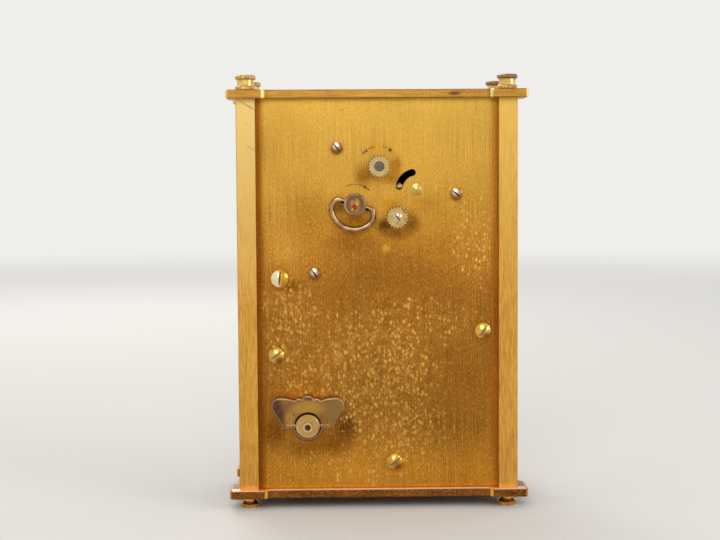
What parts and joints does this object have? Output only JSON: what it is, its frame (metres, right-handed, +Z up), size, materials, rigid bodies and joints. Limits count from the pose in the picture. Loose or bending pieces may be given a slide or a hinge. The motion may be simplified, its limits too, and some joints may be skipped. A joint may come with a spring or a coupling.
{
  "type": "musical alarm desk clock",
  "caption": "Brass desk clock with glass sides, coved plates on corner posts, and a back panel with winding keys, setting knobs and alarm lever; musical movement inside.",
  "frame": {"origin": "on the ground under the middle of the whole clock, keys included", "axes": "+Z up, the dial faces -Y, the back panel with the keys faces +Y, +X is to the left as seen from behind"},
  "size_m": [0.096, 0.0478, 0.1395],
  "materials": {
    "case_brass": "satin",
    "panel_brass": "brushed, tarnished",
    "key_brass": "satin, worn",
    "screw_brass": "polished",
    "movement_brass": "fine brushed",
    "steel": "turned",
    "spring_steel": "blued",
    "bed_alloy": "bronze lacquer",
    "window_glass": "polished",
    "dial_gilt": "matt gilt",
    "dial_enamel": "ivory enamel",
    "hand_black": "black enamel"
  },
  "bodies": {
    "case": {"base_plate": "case_brass", "top_plate": "case_brass", "front_posts": "case_brass", "rear_posts": "case_brass", "tie_rods": "steel", "feet": "case_brass", "finials": "case_brass", "front_glass": "window_glass", "side_glass": "window_glass", "dial_plate": "dial_gilt", "chapter_ring": "dial_enamel", "back_panel": "panel_brass", "movement_screws": "screw_brass", "bed_screws": "screw_brass", "bracket_screw": "screw_brass", "stop_bracket": "steel", "rear_movement_plate": "movement_brass", "front_movement_plate": "movement_brass", "movement_pillars": "movement_brass", "inner_screws": "steel", "hairspring": "spring_steel", "music_bed_plate": "bed_alloy", "governor_cage": "movement_brass", "music_comb": "spring_steel"},
    "time_knob": {"time_set_knob": "key_brass", "time_set_arbor": "steel"},
    "setting_wheel": {"setting_wheel": "movement_brass"},
    "minute_hand": {"cannon_pinion": "movement_brass", "minute_hand": "hand_black", "hand_nut": "screw_brass"},
    "minute_wheel": {"minute_wheel": "movement_brass"},
    "hour_hand": {"hour_wheel": "movement_brass", "hour_hand": "hand_black"},
    "alarm_knob": {"alarm_set_knob": "key_brass", "alarm_set_arbor": "steel", "alarm_knob_screw": "key_brass"},
    "alarm_hand": {"alarm_wheel": "movement_brass", "alarm_hand": "dial_gilt"},
    "winding_key": {"winding_key_hub": "key_brass", "barrel_arbor": "steel", "ratchet_wheel": "steel"},
    "winding_ring": {"winding_key_ring": "key_brass"},
    "click": {"click": "steel"},
    "third_wheel": {"third_wheel": "movement_brass"},
    "second_wheel": {"second_wheel": "movement_brass"},
    "barrel": {"barrel": "movement_brass", "barrel_cap": "movement_brass", "mainspring": "spring_steel"},
    "escape_wheel": {"escape_wheel": "movement_brass"},
    "pallet_fork": {"pallet_fork": "steel"},
    "balance": {"balance_wheel": "movement_brass"},
    "alarm_lever": {"alarm_lever": "key_brass"},
    "music_key": {"music_key_hub": "key_brass", "music_spring_arbor": "steel"},
    "music_wing": {"music_key_wing": "key_brass"},
    "music_cylinder": {"music_cylinder": "movement_brass"},
    "music_drum": {"music_spring_drum": "movement_brass", "music_mainspring": "spring_steel"},
    "governor_wheel": {"governor_wheel": "movement_brass"},
    "governor_fly": {"governor_fly": "movement_brass"}
  },
  "joints": [
    {"name": "time_knob_turn", "type": "hinge", "parent": "case", "child": "time_knob", "pos_m": [-0.00053, 0, 0.11024], "axis": [0, 1, 0], "continuous": true},
    {"name": "setting_wheel_turn", "type": "hinge", "parent": "case", "child": "setting_wheel", "pos_m": [0.00201, 0, 0.10161], "axis": [0, 1, 0], "continuous": true},
    {"name": "minute_hand_turn", "type": "hinge", "parent": "case", "child": "minute_hand", "pos_m": [0, 0, 0.09314], "axis": [0, 1, 0], "continuous": true},
    {"name": "minute_wheel_turn", "type": "hinge", "parent": "case", "child": "minute_wheel", "pos_m": [-0.00065, 0, 0.08718], "axis": [0, 1, 0], "continuous": true},
    {"name": "hour_hand_turn", "type": "hinge", "parent": "case", "child": "hour_hand", "pos_m": [0, 0, 0.09314], "axis": [0, 1, 0], "continuous": true},
    {"name": "alarm_knob_turn", "type": "hinge", "parent": "case", "child": "alarm_knob", "pos_m": [-0.00623, 0, 0.09409], "axis": [0, 1, 0], "continuous": true},
    {"name": "alarm_hand_turn", "type": "hinge", "parent": "case", "child": "alarm_hand", "pos_m": [0, 0, 0.09314], "axis": [0, 1, 0], "continuous": true},
    {"name": "winding_key_turn", "type": "hinge", "parent": "case", "child": "winding_key", "pos_m": [0.00723, 0, 0.09826], "axis": [0, -1, 0], "range_deg": [0, 1800]},
    {"name": "winding_ring_fold", "type": "hinge", "parent": "winding_key", "child": "winding_ring", "pos_m": [0.00723, 0.02065, 0.09826], "axis": [0.9542, 0, 0.299], "range_deg": [0, 180]},
    {"name": "click_swing", "type": "hinge", "parent": "case", "child": "click", "pos_m": [0.01381, 0, 0.10206], "axis": [0, 1, 0], "range_deg": [-5, 8]},
    {"name": "third_wheel_turn", "type": "hinge", "parent": "case", "child": "third_wheel", "pos_m": [-0.00844, 0, 0.08268], "axis": [0, 1, 0], "continuous": true},
    {"name": "second_wheel_turn", "type": "hinge", "parent": "case", "child": "second_wheel", "pos_m": [-0.00065, 0, 0.08718], "axis": [0, 1, 0], "continuous": true},
    {"name": "barrel_turn", "type": "hinge", "parent": "case", "child": "barrel", "pos_m": [0.00723, 0, 0.09826], "axis": [0, 1, 0], "continuous": true},
    {"name": "escape_wheel_turn", "type": "hinge", "parent": "case", "child": "escape_wheel", "pos_m": [-0.01643, 0, 0.07977], "axis": [0, 1, 0], "continuous": true},
    {"name": "pallet_fork_swing", "type": "hinge", "parent": "case", "child": "pallet_fork", "pos_m": [-0.01333, 0, 0.0744], "axis": [0, 1, 0], "range_deg": [-3, 3]},
    {"name": "balance_swing", "type": "hinge", "parent": "case", "child": "balance", "pos_m": [-0.00587, 0, 0.07361], "axis": [0, 1, 0], "range_deg": [-135, 135], "stiffness_Nm_per_rad": 0.000004},
    {"name": "alarm_lever_swing", "type": "hinge", "parent": "case", "child": "alarm_lever", "pos_m": [-0.01249, 0, 0.10287], "axis": [0, -1, 0], "range_deg": [0, 66]},
    {"name": "music_key_turn", "type": "hinge", "parent": "case", "child": "music_key", "pos_m": [0.0228, 0, 0.0272], "axis": [0, -1, 0], "range_deg": [0, 1800]},
    {"name": "music_wing_fold", "type": "hinge", "parent": "music_key", "child": "music_wing", "pos_m": [0.0228, 0.02015, 0.0272], "axis": [-1, 0, 0], "range_deg": [0, 90]},
    {"name": "music_cylinder_turn", "type": "hinge", "parent": "case", "child": "music_cylinder", "pos_m": [0, 0.002, 0.0272], "axis": [1, 0, 0], "continuous": true},
    {"name": "music_drum_turn", "type": "hinge", "parent": "case", "child": "music_drum", "pos_m": [0.0228, 0, 0.0272], "axis": [0, 1, 0], "continuous": true},
    {"name": "governor_wheel_turn", "type": "hinge", "parent": "case", "child": "governor_wheel", "pos_m": [0, 0.002, 0.01895], "axis": [1, 0, 0], "continuous": true},
    {"name": "governor_fly_turn", "type": "hinge", "parent": "case", "child": "governor_fly", "pos_m": [0, 0.008, 0.01895], "axis": [1, 0, 0], "continuous": true}
  ],
  "couplings": [
    {"joint": "setting_wheel_turn", "follows": "time_knob_turn", "ratio": -0.25},
    {"joint": "minute_hand_turn", "follows": "time_knob_turn", "ratio": 1.2},
    {"joint": "minute_wheel_turn", "follows": "time_knob_turn", "ratio": -0.4},
    {"joint": "hour_hand_turn", "follows": "time_knob_turn", "ratio": 0.1},
    {"joint": "alarm_hand_turn", "follows": "alarm_knob_turn", "ratio": -0.4},
    {"joint": "second_wheel_turn", "follows": "third_wheel_turn", "ratio": -0.15385},
    {"joint": "barrel_turn", "follows": "third_wheel_turn", "ratio": 0.020513},
    {"joint": "escape_wheel_turn", "follows": "third_wheel_turn", "ratio": -7.5},
    {"joint": "music_drum_turn", "follows": "music_cylinder_turn", "ratio": 0.2},
    {"joint": "governor_wheel_turn", "follows": "music_cylinder_turn", "ratio": -5.6},
    {"joint": "governor_fly_turn", "follows": "music_cylinder_turn", "ratio": 28}
  ]
}
